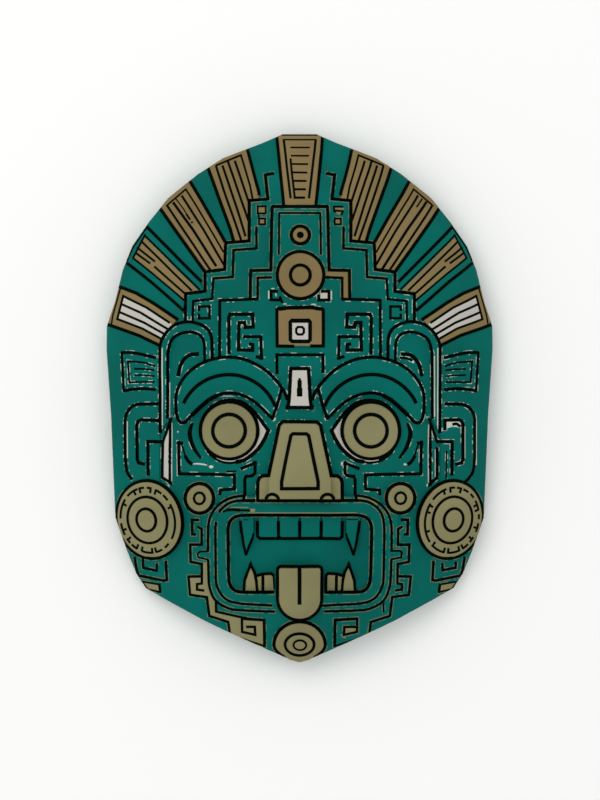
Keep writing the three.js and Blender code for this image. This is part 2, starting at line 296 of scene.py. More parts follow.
square = both_halves([(12.8, 51.2), (12.8, 29.4)])
carve(SQUARE, square, "ochre")
cut(1.7, [(-3.4, 29.3), (-12.6, 29.4), (-12.7, 50.2)], [(12.9, 50.2), (12.9, 29.5), (6.2, 29.5)])
gesso_cut(2.1, [(-12.4, 50.3), (-6, 51), (6.5, 51.1), (12.6, 50.1)])
boss = [(-5.1, 33), (-4.2, 32.1), (4.8, 32.1), (5.6, 33), (5.6, 42.9), (4.8, 43.8), (-4.2, 43.8),
    (-5.1, 42.9)]
carve(SQUARE + BOSS, boss, "white")
cut(2, boss, closed=True)
cut(2.4, [(-4.2, 43.6), (4.8, 43.6)])
cut(1.1, [(2.3, 39.1), (1.4, 40.1), (-1, 40.1), (-1.9, 39.1), (-1.9, 37), (-1, 35.9), (1.4, 35.9),
    (2.3, 37)], closed=True)
fleck([(-13.7, 57.4), (-13, 57.4), (-13, 59), (-13.7, 59.4)], ring(-8.3, 53.2, 1.1, 0.35),
    ring(-15.1, 61.8, 1, 0.4), ring(7.6, 52.9, 1.6, 0.4))
streak((-17.4, 60.6), (-17.4, 56))
streak((17.5, 60.5), (17.5, 55.5), on=MIDDLE)
fleck([(9.4, 59.5), (9.6, 54.5), (10.6, 54.5), (10.4, 59.5)], [(11.4, 63), (10.6, 60), (12.6, 60)],
    on=MIDDLE)


def hood_level(x, y):
    return forehead_level(x, y) + (COLUMN - FOREHEAD) * np.clip((y - HOOD_FOOT) / HOOD_SLOPE, 0, 1)


carve(hood_level, both_halves([(12.8, 24.4), (12.8, 10)]))
gesso_cut(1.6, [(-12.7, 14), (-12.8, 24.4), (12.7, 24.4), (12.8, 14.5)])
pendant = both_halves([(4.9, 16.6), (5.8, 0.5), (6.2, -3.2), (6.7, -5.2)])
carve(PENDANT, pendant, "white")
gesso_cut(1.9, pendant, closed=True)
cut(1.1, [(0, 11), (0, 9.4)], on=MIDDLE)
cut(2.2, [(0, 9.6), (0, 1.6)], on=MIDDLE)
cut(2.9, [(0, 5), (0, 1.9)], on=MIDDLE)

# The temples
# An arch stands on each side of the brow, with a framed plate beyond it and nested hooks below, where an
# ear would be. The grooves are gouged and blackened, and their edges show the white gesso under the paint.
ARCH = 3.5
ARCH_FLOOR = 1
TEMPLE = 1.5


def bend(*points):
    """A smooth curve through the points, as a bent lath gives it."""
    known = np.array(points, float)
    known = np.vstack([2 * known[0] - known[1], known, 2 * known[-1] - known[-2]])
    curve = []
    for a, b, c, d in zip(known, known[1:], known[2:], known[3:]):
        for t in np.linspace(0, 1, max(2, math.ceil(np.hypot(*(c - b)) / ARC_STEP)), endpoint=False):
            curve.append(0.5 * (2 * b + (c - a) * t + (2 * a - 5 * b + 4 * c - d) * t * t
                                + (3 * b - a - 3 * c + d) * t**3))
    return [tuple(p) for p in curve] + [tuple(points[-1])]


arch_outer = [(78.8, -19.4), (79, 29.6), *bend((79, 29.6), (77.9, 33), (74.7, 37.9), (70.5, 41.4),
    (64.8, 43), (60.5, 42.9), (54.8, 41), (51, 37.6), (49.6, 33), (49.4, 28)), (49.4, 21.7)]
arch_inner = [(74.7, -11.2), (74.6, 25.1), *bend((74.6, 25.1), (73, 31.9), (69.8, 35.3), (64.8, 37.2),
    (59.9, 37.2), (55.9, 35.3), (53.9, 31.6), (53.6, 27)), (53.5, 20.5)]
carve(ARCH, arch_outer)
carve(ARCH_FLOOR, arch_inner + [(60, -18)], sunk=True)
gesso_cut(1.75, arch_outer)
gesso_cut(1.55, arch_inner)
streak((77.85, 28.5), (77.75, -15.5))
streak((75.65, 24), (75.75, -10.5), on=RIGHT)
streak((73.6, 9), (73.7, -11), on=LEFT)
gesso_cut(1.9, bend((57.3, 25), (62.6, 24.2), (66.8, 19.6), (68.6, 12.8)))
gesso_cut(1.2, bend((56.4, 22.9), (60.4, 22.5), (62.9, 21.3)), on=RIGHT)
fleck([(62.8, 20.6), (64.2, 21.3), (64.4, 19.9), (63.6, 19.6)], on=RIGHT)

plate = [(81.6, 22.9), (89.8, 24.8), (95.4, 25.8), (100.9, 25.8), (99.7, 4.2), (95.6, 5), (88.5, 5.5),
    (81.8, 4.9)]
carve(TEMPLE, [(79, 22.4), *plate, (79, 4.8)])
gesso_cut(1.7, plate[:4], plate[4:])
gesso_cut(1.4, plate[3:5])
gesso_cut(0.9, [(81.8, 18.3), (88.3, 20.2), (97.4, 20.9), (96.5, 9), (82.4, 9.2)])
gesso_cut(0.8, [(93.6, 16.6), (87.1, 16.5), (82.2, 15.9)], [(93.6, 13.1), (87, 13), (82.2, 12.5)])

ear_hook = [(81.9, -3.3), *bend((91.7, -3.5), (95.3, -5), (98, -8.6), (98.9, -12)), (98.9, -33.4),
    *bend((98.9, -33.4), (97.9, -41.5), (95.1, -45.8))]
carve(TEMPLE, [(79, -3.4), *ear_hook[1:], (79, -60)])
gesso_cut(1.75, ear_hook)
cut(1.7, [(81.9, -3.3), (80.3, -3.3)], on=LEFT)
cut(1.7, [(95.1, -45.8), (92.6, -48.2)], on=RIGHT)
streak((97.9, -13), (97.9, -34), on=LEFT)
streak((99.9, -14), (99.9, -38), on=RIGHT)
temple_hook = [(89.8, -12.2), (91.6, -13.2), (92.2, -15.6), (92.1, -34.5), (91.3, -36.6), (88, -37.4)]
gesso_cut(1.75, [(79.8, -12.7), *temple_hook], on=LEFT)
gesso_cut(1.75, [(81.7, -17.8), (81.7, -12.4), *temple_hook], on=RIGHT)
streak((93.15, -16), (93.05, -34), on=RIGHT)
gesso_cut(1.75, [(77.3, -24.6), (85.9, -24.6), (85.8, -43.5)])
sliver = [(73.3, -13.5), (77.4, -24.7), (77.7, -45), (73.4, -47.6)]
paint("white", sliver, on=LEFT)
gesso_cut(1.4, sliver, on=LEFT, closed=True)
streak((72.4, -14), (72.5, -47), on=LEFT)
streak((72.6, -15), (72.6, -48), on=RIGHT)
streak((76.6, -29), (76.6, -44.5), on=RIGHT)
gesso_cut(1.5, [(77.5, -28.2), (77.5, -45.2), (73.6, -48.2), (73.6, -13.8), (77.3, -24.6)], on=RIGHT)
gesso_cut(0.65, [(82.8, -30), (82.6, -45.8)], on=RIGHT)
fleck([(82, -12.8), (91.3, -12.8), (91.6, -17.4), (88.7, -16.4), (85.9, -16.2), (83.1, -17),
    (82, -17.5)], on=RIGHT)
cut(1.4, bend((86.4, -14.8), (88.5, -14.5), (90.5, -16)), on=RIGHT)

# The eyes and brows
# Round eyes bulge out of sunk sockets under heavy crescent brows, whose edges follow circles about the
# eyes. They are the deepest carving after the mouth; a sliver of white shows at each eye's inner corner.
EYE_U, EYE_V, EYE_R, PUPIL_R = 39.8, -18.3, 16.2, 9.1
BROW = 6
SOCKET = -1.5
SOCKET_V, SOCKET_HALF, SOCKET_TALL, SOCKET_WALL = -17.5, 23, 20, 2.2
EYE = 3
socket = [(17.8, -18.4), (20.8, -24.5), (25, -30.3), (30.4, -34.5), (37.5, -36.8), (47.7, -36.4),
    (56, -33.4), (61.1, -26), (62.3, -20.3), (60.5, -9), (52.9, -2.2), (42.3, 1), (33.8, -1.4),
    (24.7, -10.4)]


def socket_level(x, y):
    out = np.hypot((np.abs(x) - EYE_U) / SOCKET_HALF, (y - SOCKET_V) / SOCKET_TALL)
    return SOCKET * np.clip(SOCKET_WALL * (1 - out), 0, 1)


carve(socket_level, socket, sunk=True)
eye_foot = arc(EYE_U, EYE_V, EYE_R, 180, 360, 15.9)
eye = arc(EYE_U, EYE_V, EYE_R, 0, 180) + eye_foot[1:-1]
upper_lid = bend((50.5, -5.6), (45.5, -2.4), (39.8, -1.3), (33.8, -1.9), (29.9, -3.8), (25.9, -7.4),
    (22.2, -11.8), (19.6, -15.5), (17.3, -18.7))
under_lid = bend((17.9, -18.9), (20.1, -23.6), (24, -29.25), (30.4, -34.45), (35.7, -36))
lower_rim = bend((35.7, -36), (39.5, -36.5), (45.2, -35.5), (50.1, -32.2), (52.3, -29.5))
paint("white", [(24, -11.5), (20.6, -13), *under_lid, *lower_rim, (EYE_U, EYE_V)])
carve(EYE, eye, "olive", swell=0.9)
carve(EYE + BOSS, ring(EYE_U, EYE_V, PUPIL_R), swell=0.9)
cut(2, arc(EYE_U, EYE_V, EYE_R, -12, 192))
cut(1.7, eye_foot)
cut(1.3, [(44.6, -34.6), (47, -33.5), (50, -31.4)], on=RIGHT)
cut(2, ring(EYE_U, EYE_V, PUPIL_R), closed=True)
gesso_cut(1.8, upper_lid)
gesso_cut(2, under_lid)
gesso_cut(1.1, lower_rim)
gesso_cut(1.2, bend((60.6, -14.2), (62.6, -18.4), (62.4, -22.5), (60.2, -28.2), (56, -33.8)))
cut(1.2, bend((60.6, -14.2), (61.6, -18.4), (61.3, -22.5), (59.3, -28.2), (56, -33.8)))

brow_outer = bend((64.5, -13.4), (67.2, -13.8), (69.2, -10.4), (69.9, -4), (69.6, 2.4), (67.2, 8.6),
    (62, 15), (54.5, 20), (46, 22.6), (39.5, 23), (32, 22), (24, 18.8), (17.4, 14.2), (11.5, 7.8))
brow_tip = [(10.2, 5.6), (12.7, -3.9), (15.3, -11.1), (17, -9.9)]
brow_under = bend((17, -9.9), (20.5, -6.2), (24.9, -2.3), (29.9, 0.7), (35.5, 2.6), (41, 3), (46.9, 1.6),
    (51.7, -1.2), (57.9, -6.5), (64.5, -13.4))
carve(BROW, brow_outer + brow_tip + brow_under[1:-1], swell=1)
gesso_cut(1.75, brow_outer + [(8.6, 3.5), (7, -0.6)])
gesso_cut(1.6, brow_tip + brow_under[1:])
cut(2.3, bend((60.5, -9.2), (56, -5), (51, -0.8), (47, 1.4)))
cut(1.8, arc(40, -14.8, 28.1, 26, 158))
fleck([(45.2, 0.4), (42.4, 1.5), (38.8, 1.5), (36, 0.7), (38.8, 0.8), (42.4, 0.8)], on=LEFT)

# Hooked lines run from under the eyes to the mouth
cut(1.7, bend((61, -37.3), (63, -35.6), (64.6, -33)))
gesso_cut(0.8, bend((64.4, -33.4), (65.6, -29.6), (66.8, -26)))
gesso_cut(1.6, [(66.4, -25.3), (68.5, -25.1), (68.1, -42.7), (36.8, -43.3), (36.8, -51.3), (44.7, -51.9),
    (45, -54.4)])
gesso_cut(1.6, [(33, -39.8), (25.2, -36.6), (25.1, -42.3), (26.7, -43.9), (30.3, -44.2), (30.9, -46),
    (30.9, -53.8), (31.7, -57.8)])
cut(0.7, [(41.1, -41.3), (35.9, -41.2)], on=LEFT)
fleck([(60.6, -36.9), (57.5, -36.7), (54, -37.1), (52.3, -37.7), (52.4, -38.2), (54.1, -37.9),
    (57.4, -37.5), (60.6, -37.5)], ring(50, -38.8, 1.3, 0.9), ring(68.9, -19, 0.5), on=LEFT)
fleck([(67, -26.4), (67.3, -26.8), (67, -30.5), (66.6, -29)], on=LEFT)
fleck(ring(59.2, -37.4, 1, 0.6), on=RIGHT)
streak((69.2, -26), (69.1, -44), on=LEFT, wide=0.7)

# The nose
# A broad nose stands out furthest of all. It slopes up from between the eyes to its tip and has lower
# wings with half-round nostrils; it is painted olive and carries an open lined frame.
NOSE_TOP, NOSE_FOOT = -13.4, -57.8
NOSE_ROOT, NOSE_TIP, NOSE_WING = 4, 12, 7


def nose_slope(extra):
    def level(x, y):
        return extra + NOSE_ROOT + (NOSE_TIP - NOSE_ROOT) * (y - NOSE_TOP) / (NOSE_FOOT - NOSE_TOP)
    return level


wings = [(20.9, -44), (22.7, -45.2), (23.5, -47.5), (23.7, NOSE_FOOT)]
ridge = [(9.4, NOSE_TOP), (11.4, -15.2), (17.4, -43.8)]
carve(NOSE_WING, both_halves([(17, -44.5), *wings]), swell=0.8)
carve(nose_slope(0), both_halves([*ridge, (17.6, NOSE_FOOT)]), swell=0.8)
carve(nose_slope(BOSS), both_halves([(4.7, -20.8), (10.1, -47.5), (10.1, -51)]))
paint("olive", both_halves([*ridge, *wings]))
gesso_cut(1.9, [*ridge, *wings])
gesso_cut(1.9, [(-9.4, NOSE_TOP), (9.4, NOSE_TOP)])
cut(1.9, both_halves([(3.8, -20.2), (4.9, -21.2), (10.1, -47.2), (10.1, -50.9)]), closed=True)
cut(1.6, arc(15.4, NOSE_FOOT, 3.7, 0, 180))

# The mouth
# A wide frame of two lips round a deep open mouth, with a fang and two teeth on each side above, a fang
# and two short teeth below, and a tongue that hangs over the lower lip. It is one piece with the face.
LIP, LIP_FRAME, MOUTH = 3, 4.5, -3.5
MOUTH_V, MOUTH_HALF, MOUTH_TALL, MOUTH_WALL = -88, 41, 22.5, 4.5
TOOTH, FANG, TONGUE = 0.5, 1.5, 6.5
JAW = 1.5
jaw_steps = [(55.4, -74), (55.4, -83), (61.9, -83), (61.7, -92.7), (55.4, -93.8), (55.4, -101),
    (62.9, -101.2), (62, -111.5), (52.5, -112.7), (51.2, -123.5), (40.5, -126.9), (39.1, -136)]
carve(JAW, both_halves([(56, -60), *jaw_steps, (39, -150)]))
lip_side = bend((32.2, -55.1), (37.3, -55.9), (42.6, -58.1), (47, -61.6), (50.3, -66.7), (51.6, -72.5),
    (51.7, -79))
lip_outer = [*lip_side, (51.8, -86.5)]
lip_lower = [(51.8, -91.6), *bend((51.6, -100), (51, -107), (47.6, -114.6), (39.5, -119.4), (30, -120.4)),
    (14.3, -120.8)]
carve(LIP, both_halves([*lip_outer, *lip_lower]))
ochre_cut(1.35, lip_outer, lip_lower)
frame_line = [*bend((32.1, -57.7), (37.4, -58.4), (41.4, -60.3), (44.7, -63.4), (46.5, -66.8), (47.4, -72),
    (47.5, -78)), *bend((47.5, -98), (47.1, -105.2), (44, -111.7), (39.3, -115.1), (32.7, -116.5)),
    (15.7, -117.3)]
carve(LIP_FRAME, both_halves(frame_line), swell=0.8)
ochre_cut(1.35, frame_line + [(12.8, -117.4)], on=RIGHT)
ochre_cut(1.35, [(u, v) for u, v in frame_line if v > -65.5], [(u, v) for u, v in frame_line if v < -68.5],
    on=LEFT)
fleck([(31.3, -55.5), (34.5, -55.8), (37.8, -56.5), (40.2, -57.5), (42.7, -59), (43.9, -60.3),
    (42.4, -59.7), (40, -58.4), (37.6, -57.3), (34.4, -56.8), (31.4, -56.7)], on=RIGHT, colour="olive")
ochre_cut(1.8, [(-32.1, -57.8), (-25.5, -57.8)], [(-23.6, -57.8), (32.1, -57.8)])
ochre_cut(0.8, [(51.8, -86.6), (56.4, -86.8), (57.8, -88.2), (57.4, -90.1), (51.8, -91.4)], on=LEFT)
ochre_cut(1, [(51.6, -86.4), (56.8, -86.3), (57.7, -87.2), (57.4, -90.1), (51.6, -91.2)], on=RIGHT)
cut(0.9, [(43.1, -64.1), (41, -63.3)], [(35, -63.2), (28.2, -63.4)], on=LEFT)
cut(1.4, [(41, -63.2), (37.9, -62.9), (34, -63.2)], on=LEFT)
fleck([(28.2, -62.5), (28, -64.2), (25.6, -64.3), (25, -63.1), (25.4, -62.3)],
    box(29, -61.9, 39.1, -61.4), on=LEFT, colour="olive")

mouth_top, mouth_foot = -66, -109.9
mouth_side = [(0, mouth_top), (30.4, mouth_top), *bend((30.4, mouth_top), (35.6, -66.7), (39, -69.1),
    (40.4, -73.4), (40.4, -78)), *bend((40.3, -99), (39.5, -105.6), (36.2, -109.2), (31.6, mouth_foot)),
    (0, mouth_foot)]


def mouth_level(x, y):
    out = ((np.abs(x) / MOUTH_HALF) ** 4 + (np.abs(y - MOUTH_V) / MOUTH_TALL) ** 4) ** 0.25
    return MOUTH * np.clip(MOUTH_WALL * (1 - out), 0, 1)


carve(mouth_level, both_halves(mouth_side[1:-1]), sunk=True)
streak((-28.9, -64.75), (31, -64.75), colour="olive", wide=0.5)
ochre_cut(1.7, mouth_side[:-1] + [(14.9, mouth_foot)])

TOOTH_WIDE, TOOTH_FOOT = 11.9, -79.3
TOOTH_GAP, TOOTH_ROUND, LINE_TOP = 0.4, 1.5, -69.8
for inner in (TOOTH_GAP, TOOTH_WIDE + TOOTH_GAP):
    outer = inner + TOOTH_WIDE - 2 * TOOTH_GAP
    carve(TOOTH, [(inner, mouth_top), (inner, TOOTH_FOOT + TOOTH_ROUND), (inner + TOOTH_ROUND, TOOTH_FOOT),
        (outer - TOOTH_ROUND, TOOTH_FOOT), (outer, TOOTH_FOOT + TOOTH_ROUND), (outer, mouth_top)])
    cut(1.7, [(outer + TOOTH_GAP, LINE_TOP), (outer + TOOTH_GAP, TOOTH_FOOT + 1.2),
        (outer - 0.9, TOOTH_FOOT), (inner - 0.6, TOOTH_FOOT)], on=BOTH)
cut(1.7, [(0, LINE_TOP), (0, TOOTH_FOOT)], [(-1.2, TOOTH_FOOT), (1.2, TOOTH_FOOT)])
fang_tip = (30.4, -88.6)
carve(FANG, [(34.2, mouth_top), (33, -75), (31.8, -82), fang_tip, (28.1, -82.2), (26, -77),
    (26, mouth_top)])
cut(1.6, [(33.5, -69.7), (32.8, -76)])
cut(1.35, [(32.9, -74), (31.8, -82), fang_tip], [(26.8, -79.2), (28.6, -83.6), fang_tip])
cut(0.9, [(26.2, -76.6), (26.8, -79.2)])
cut(0.35, [(31.4, -68.7), (29.3, -68.7)], on=LEFT)
cut(0.35, [(32.4, -68.6), (26.4, -68.6)], on=RIGHT)
low_fang = [(31.5, mouth_foot), (31, -103.2), (29.4, -98.5), (27.7, -94.4), (25.6, -98.4), (24.5, -103),
    (24, mouth_foot)]
carve(FANG, low_fang)
carve(TOOTH, box(14.8, mouth_foot, 24.2, -100.1))
paint("olive", low_fang, box(14.8, mouth_foot, 24.6, -100))
cut(1.5, low_fang)
cut(1.5, [(20.8, mouth_foot), (20.8, -99.5)], [(24.4, -100.6), (20.8, -99.6), (16, -99.4), (14.9, -100.4)])
cut(1.5, [(14.9, -100.2), (14.9, mouth_foot)], on=RIGHT)
cut(0.7, [(14.9, -100.2), (14.5, -107.5)], on=LEFT)
tongue = both_halves([(10.7, -95.3), (12, -95.9), (12.5, -97.3), *arc(0, -113.2, 12.5, 0, -88, 12.6)])
carve(TONGUE, tongue, "olive", swell=1)
cut(1.7, tongue, closed=True)
cut(1.95, [(0, -95.6), (0, -116.3)], on=MIDDLE)

# Stepped frets hang from the cheeks down both sides of the jaw; the left ones are painted olive below
fret_line = [(57.6, -72.8), *jaw_steps]
ochre_cut(1.4, [(57.2, -68.8), (60.9, -68.8), (60.8, -77.1), (59, -77.1)], fret_line)
ochre_cut(1.2, [(55.4, -101), (55.4, -105), (58.1, -105.4), (58.1, -108.5), (54.3, -109)])
spiral = [(32.7, -125.6), (32.6, -132.6), (25.2, -134.3), (25.4, -129.7), (30, -129.7)]
ochre_cut(1.5, [(33, -125), (20.1, -125.7), (19.9, -141)])
ochre_cut(1.25, spiral)
cut(1.25, [(30, -129.7), (32.3, -129.8)], on=RIGHT)
ochre_cut(1.2, [(47.5, -115.2), (47.4, -121), (33, -124.3), (30, -124.7)], on=LEFT)
ochre_cut(0.9, [(47.6, -116.3), (47.6, -121.3)], on=RIGHT)
cut(0.9, [(19.9, -140.7), (26.5, -138.6), (33.5, -136.2)])
cut(0.6, [(33, -136.3), (39.3, -133.6)], on=RIGHT)
paint("olive", [(51.8, -92), (55.4, -93.8), (55.4, -101), (62.9, -101.2), (62, -111.5), (52.5, -112.7),
    (51.2, -123.5), (41.1, -126.8), (39, -136), (19.9, -146), (20.1, -126.4), (33.2, -125.6),
    (33.1, -124.3), (47.4, -121), (47.5, -115.2), (51.4, -106)], on=LEFT)
paint("olive", [(32.9, -130), (25.4, -129.9), (25.3, -134.2), (33, -132.6)], on=RIGHT)

under_ear = [(93.8, -90.5), (92.6, -98.1), (91.4, -100.9), (77, -103.6), (75.4, -103.2), (75.8, -92.5)]
ochre_cut(1.4, under_ear)
ochre_cut(1.3, [(89.1, -90.5), (88.9, -96.4), (81.2, -97.9), (80.9, -94.1)], on=LEFT)
ochre_cut(1.3, [(88.7, -93.2), (88.6, -96.4), (81.2, -97.7), (80.9, -93.9)], on=RIGHT)
block = [(90, -104.2), (79.8, -105.8), (79.2, -110.2), (86.5, -108.6), (89.6, -104.5)]
paint("olive", [(91, -104), *block[1:3], (86, -111)])
ochre_cut(0.9, block)
cut(1.35, [(79.8, -105.6), (79.2, -109.8)])

# The discs
# Turned-looking discs on the cheeks, over the ears and under the tongue, each stepped up to a boss. They
# are carved in the round, painted olive, and the ear discs have a ring of short nicks like a dial's.
EAR, CHEEK, CHIN = 4.5, 4, 3.5
EAR_LEAN = 14  # degrees that the ear discs' tops lean outwards
ear_rings = [(85.35, 18.6, 22.3, 1.5), (86.3, 11.15, 13.2, 1.4), (86.9, 5.4, 6.4, 1.5)]
for step, (u, wide, tall, width) in enumerate(ear_rings):
    disc = ring(u, -69, wide, tall, EAR_LEAN)
    carve(EAR + BOSS * step, disc, swell=DISC_SWELL)
    ochre_cut(width, disc, closed=True)
paint("olive", ring(85.35, -69, 18.6, 22.3, EAR_LEAN))
cut(1.6, arc(85.1, -68.8, 18.7, 60, 290, 22.3, EAR_LEAN))

# Nicks round the ear disc: where each starts and ends, in degrees, and any short ticks pointing inwards
left_nicks = [(60, 84, 76), (89, 98, 89), (106, 114, 113), (124, 136, 124), (142, 153), (163, 225, 167),
    (238, 247), (256, 268, 269), (276, 298, 277, 300), (311, 322, 311), (328, 336, 334), (345, 365, 353),
    (15, 50, 42)]
right_nicks = [(120, 151, 125), (102, 112, 111), (87, 96, 88), (72, 82), (56, 64), (31, 47, 40, 30),
    (14, 21), (-9, 5, -3), (330, 339, 335), (311, 323, 311), (279, 303, 279, 303), (241, 270, 242, 270),
    (161, 232, 163, 176, 213)]
NICK_U, NICK_V, NICK_WIDE, NICK_TALL = 86.1, -69.2, 15.4, 18.7
for side, nicks in ((LEFT, left_nicks), (RIGHT, right_nicks)):
    for start, end, *ticks in nicks:
        cut(1.05, arc(NICK_U, NICK_V, NICK_WIDE, start, end, NICK_TALL, EAR_LEAN), on=side)
        for turn in ticks:
            tick = [arc(NICK_U, NICK_V, NICK_WIDE * share, turn, turn, NICK_TALL * share, EAR_LEAN)[0]
                for share in (1, 0.87)]
            cut(1.05, tick, on=side)

for step, (radius, tall, width) in enumerate(((8, 8.3, 1.9), (3, 3.2, 1.3))):
    carve(CHEEK + BOSS * step, ring(56.65, -56.6, radius, tall), swell=DISC_SWELL)
    ochre_cut(width, ring(56.65, -56.6, radius, tall), closed=True)
paint("olive", ring(56.65, -56.6, 8, 8.3))

chin_side = [(14.5, -140.1), (14.2, -141.7), (13.1, -143.5), (11.2, -145.2), (8.6, -147), (5, -149)]
chin_disc = arc(0, -140.1, 14.5, 0, 180, 13.3)[::-1] + both_halves([*chin_side[1:], (4, -152)])
carve(CHIN, chin_disc, swell=DISC_SWELL)
ochre_cut(1.8, arc(0, -140.1, 14.5, 0, 180, 13.3))
ochre_cut(1.7, chin_side[:-1])
paint("olive", chin_disc)
for step, (u, v, wide, tall, width) in enumerate(((0, -139.8, 8.2, 6.2, 1.5), (0.2, -140.1, 3.6, 2.8, 1))):
    carve(CHIN + BOSS * (step + 1), ring(u, v, wide, tall), swell=DISC_SWELL)
    cut(width, ring(u, v, wide, tall), closed=True)

# The carved front
# The dome is worked down to the forms and the lines are gouged with a small veiner, about 1 mm deep with a
# flat floor. Tool edges are softened by sanding and by the paint, and nothing runs quite straight.
GROOVE_DEPTH, DEEPER = 0.4, 0.75  # mm, and mm more for each mm of half width
GROOVE_FLOOR = 0.45  # share of a groove's half width that its flat floor takes
WALL_FOOT = 0.8  # share of it at which the wall of a tall form begins
TALL = 0.9  # mm between a groove's two sides, from which it has such a wall
END_REACH = 0.5  # how far a groove runs on past its last point, in half widths
SETTLED, SWELL_SPAN = 0.15, 2.5  # mm that a form sinks at its edge, and over which it rises again
EDGE_ROUND = 1.5  # radius of the sawn edge
ROUND_STEPS = (0.2, 0.6, EDGE_ROUND)  # mm from the edge to each row of points on the rounding
UNEVEN, DRIFT = 0.12, 0.1  # mm of handwork, in height and sideways
WIDER_RIGHT = 0.43  # mm that the right half is cut further out, above the jaw
DRIFT_FADE, WIDER_FADE = 12, 8  # mm from the edge over which they set in
RUBBED = 0.36  # mm beside a groove where the paint is rubbed through
SHOULDER, STEP_HALF = 1.4, 0.35  # mm between a groove or a form's edge and the points along it
SPAN, GRID, ROW_APART = 3.2, 2.8, 0.87  # mm between points on a line and off it; rows, in spacings
LINE_CLEAR, RIM_CLEAR = 2.3, 2.4  # mm that the points off the lines keep


def waver(x, y, size, phase=0.0):
    """Irregular waves about size mm long, between -1 and 1."""
    k = 2 * math.pi / size
    return sum((np.sin(k * (0.83 * x + 0.56 * y) + 1.7 + phase),
                np.sin(k * (1.13 * y - 0.47 * x) + 4.1 + 2 * phase),
                np.sin(k * (1.01 * x + 0.22 * y) + 0.6 + 3 * phase))) / 3


def directions(points):
    """Unit vectors from each point to the next, and from the last to the first."""
    ahead = np.roll(points, -1, axis=0) - points
    return ahead / np.maximum(np.hypot(*ahead.T), 1e-9)[:, None]


def segments_of(points, closed):
    """Starts, ends, and how far each segment's ends reach past its corners, in widths."""
    count = len(points) if closed else len(points) - 1
    starts, ends = points[:count], np.roll(points, -1, axis=0)[:count]
    along = directions(points)[:count]
    turn = np.arccos(np.clip((along * np.roll(along, -1, axis=0)).sum(1), -1, 1))
    reach = np.clip(np.tan(np.minimum(turn, 2.6) / 2), 0.05, 3)
    before = np.roll(reach, 1)
    if not closed:
        reach[-1] = END_REACH
        before[0] = END_REACH
    return starts, ends, before, reach


def nearest_line(x, y, margin=4.0):
    """For each point the distance past the edge of the nearest line, its share of that line's half width,
    and which line it is."""
    past = np.full(len(x), margin)
    share = np.full(len(x), 9.0)
    which = np.full(len(x), -1)
    for index, (points, half, closed, _) in enumerate(lines):
        room = margin + half * 3
        for a, b, before, reach in zip(*segments_of(points, closed)):
            near = np.flatnonzero((x > min(a[0], b[0]) - room) & (x < max(a[0], b[0]) + room)
                                  & (y > min(a[1], b[1]) - room) & (y < max(a[1], b[1]) + room))
            length = math.hypot(*(b - a))
            way = (b - a) / length
            dx = x[near] - a[0]
            dy = y[near] - a[1]
            along = dx * way[0] + dy * way[1]
            across = np.abs(dy * way[0] - dx * way[1])
            distance = np.maximum(across, np.maximum(-along / before, (along - length) / reach))
            closer = distance - half < past[near]
            past[near[closer]] = distance[closer] - half
            which[near[closer]] = index
            share[near] = np.minimum(share[near], distance / half)
    return past, share, which


def inside(x, y, outline):
    """Which points lie inside a closed outline."""
    within = np.zeros(len(x), bool)
    near = np.flatnonzero((x > outline[:, 0].min()) & (x < outline[:, 0].max())
                          & (y > outline[:, 1].min()) & (y < outline[:, 1].max()))
    px, py = x[near], y[near]
    odd = np.zeros(len(near), bool)
    for (ax, ay), (bx, by) in zip(outline, np.roll(outline, -1, axis=0)):
        if ay != by:
            odd ^= ((ay > py) != (by > py)) & (px < (bx - ax) * (py - ay) / (by - ay) + ax)
    within[near] = odd
    return within


def carved_level(x, y):
    """Height of the forms above the dome, and how much they swell between their edges."""
    level = np.zeros(len(x))
    swell = np.full(len(x), 0.3)
    for outline, stands, sunk, swells in forms:
        k = np.flatnonzero(inside(x, y, outline))
        new = stands(x[k], y[k]) if callable(stands) else np.full(len(k), float(stands))
        change = new < level[k] if sunk else new > level[k]
        level[k[change]] = new[change]
        swell[k[change]] = swells
    return level, swell


def lowest_beside(x, y, which):
    """The lowest level beside a groove: its floor lies below that, also under a raised form's wall."""
    reach = half_widths[which] + STEP_HALF
    lowest = carved_level(x, y)[0]
    for turn in np.radians(np.arange(0, 360, 45)):
        lowest = np.minimum(lowest, carved_level(x + reach * np.cos(turn), y + reach * np.sin(turn))[0])
    return lowest


def offset(points, distance, closed):
    """The line moved sideways by a distance, with sharp corners."""
    ahead = directions(points)
    behind = np.roll(ahead, 1, axis=0)
    if not closed:
        ahead[-1] = ahead[-2]
        behind[0] = ahead[0]
    side_a = np.column_stack([-behind[:, 1], behind[:, 0]])
    side_b = np.column_stack([-ahead[:, 1], ahead[:, 0]])
    corner = (side_a + side_b) / np.maximum(1 + (side_a * side_b).sum(1), 0.1)[:, None]
    return points + distance * corner


def contours(points, distance, closed):
    """Closed loops round a line at a distance."""
    if closed:
        return [offset(points, distance, True), offset(points, -distance, True)]
    longer = points.copy()
    for end, inward in ((0, 1), (-1, -2)):
        way = points[end] - points[inward]
        longer[end] = points[end] + way / np.hypot(*way) * END_REACH * distance
    return [np.vstack([offset(longer, distance, False), offset(longer, -distance, False)[::-1]])]


def merged(points, closed):
    """The same line without repeated points."""
    keep = [0]
    for i in range(1, len(points)):
        if np.hypot(*(points[i] - points[keep[-1]])) > 0.05:
            keep.append(i)
    points = points[keep]
    return points[:-1] if closed and np.hypot(*(points[0] - points[-1])) < 0.05 else points


def spaced(loop):
    """The closed loop with points at most a span apart."""
    points = []
    for a, b in zip(loop, np.roll(loop, -1, axis=0)):
        steps = max(1, math.ceil(math.hypot(*(b - a)) / SPAN))
        points += [a + (b - a) * i / steps for i in range(steps)]
    return points


